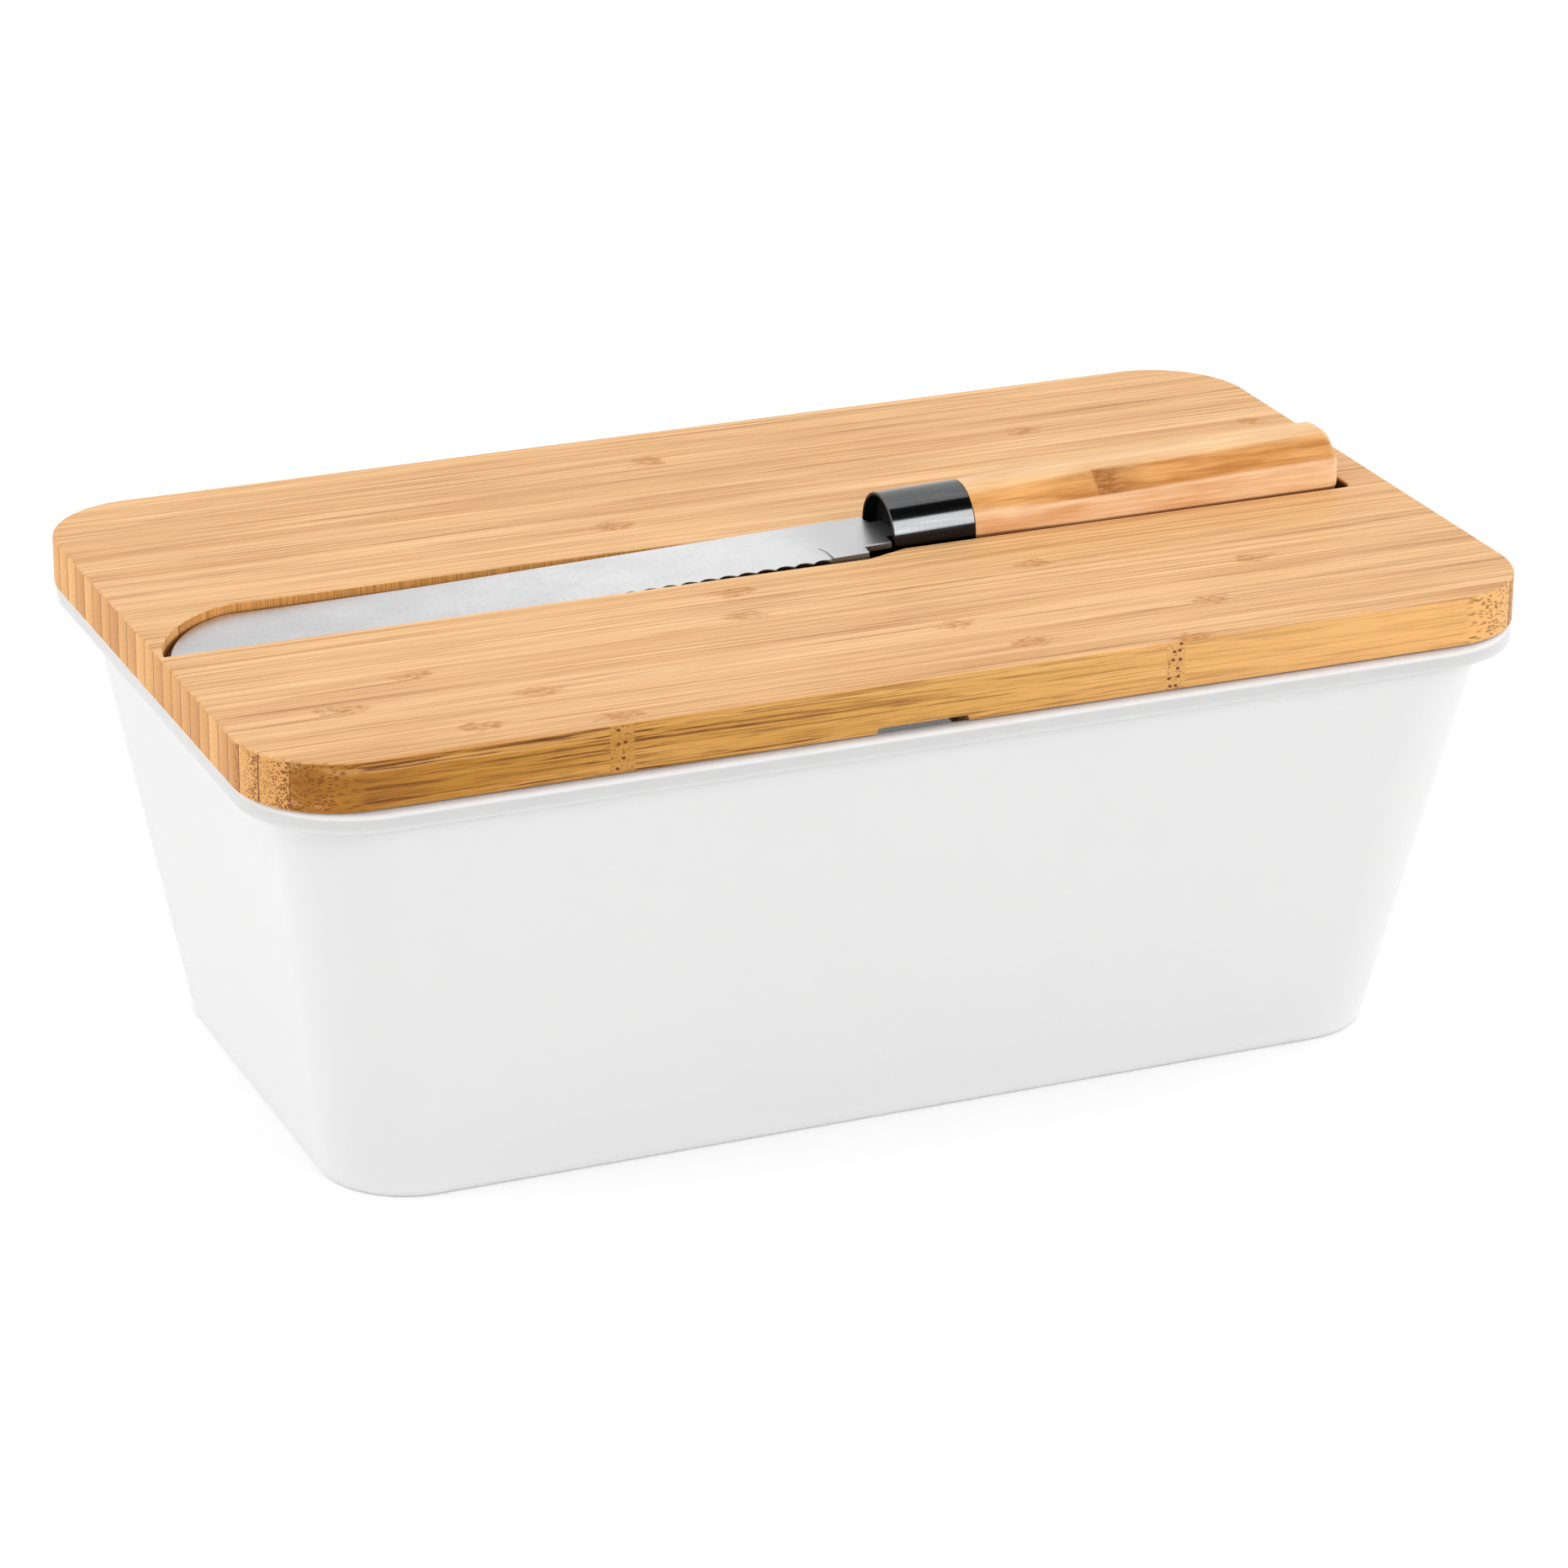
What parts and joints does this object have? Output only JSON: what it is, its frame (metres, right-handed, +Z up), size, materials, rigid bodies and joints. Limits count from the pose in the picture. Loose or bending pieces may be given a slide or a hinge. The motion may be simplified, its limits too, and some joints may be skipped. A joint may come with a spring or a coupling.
{
  "type": "bread box",
  "caption": "Tapered plastic bread bin with a loose bamboo lid that is also a cutting board, and a bread knife lying in a pocket of the lid.",
  "frame": {"origin": "middle of the bin's underside, on the surface that it stands on", "axes": "+X along the length towards the end of the knife's handle, +Y towards the back of the blade, away from the vent notch, +Z up"},
  "size_m": [0.365, 0.218, 0.1524],
  "materials": {
    "white_plastic": "satin",
    "bamboo": "oiled, satin",
    "dark_bamboo": "oiled, satin",
    "brushed_steel": "brushed",
    "black_steel": "polished, dark",
    "black_plastic": "matte"
  },
  "bodies": {
    "bin": {"bin": "white_plastic"},
    "lid": {"lid_board": "bamboo"},
    "knife": {"knife_blade": "brushed_steel", "ferrule": "black_steel", "ferrule_plug": "black_plastic", "knife_handle": "dark_bamboo"}
  },
  "joints": [
    {"name": "lid_lift", "type": "slide", "parent": "bin", "child": "lid", "axis": [0, 0, 1], "range_m": [0, 0.08]},
    {"name": "knife_lift", "type": "slide", "parent": "lid", "child": "knife", "axis": [0, 0, 1], "range_m": [0, 0.06]}
  ]
}
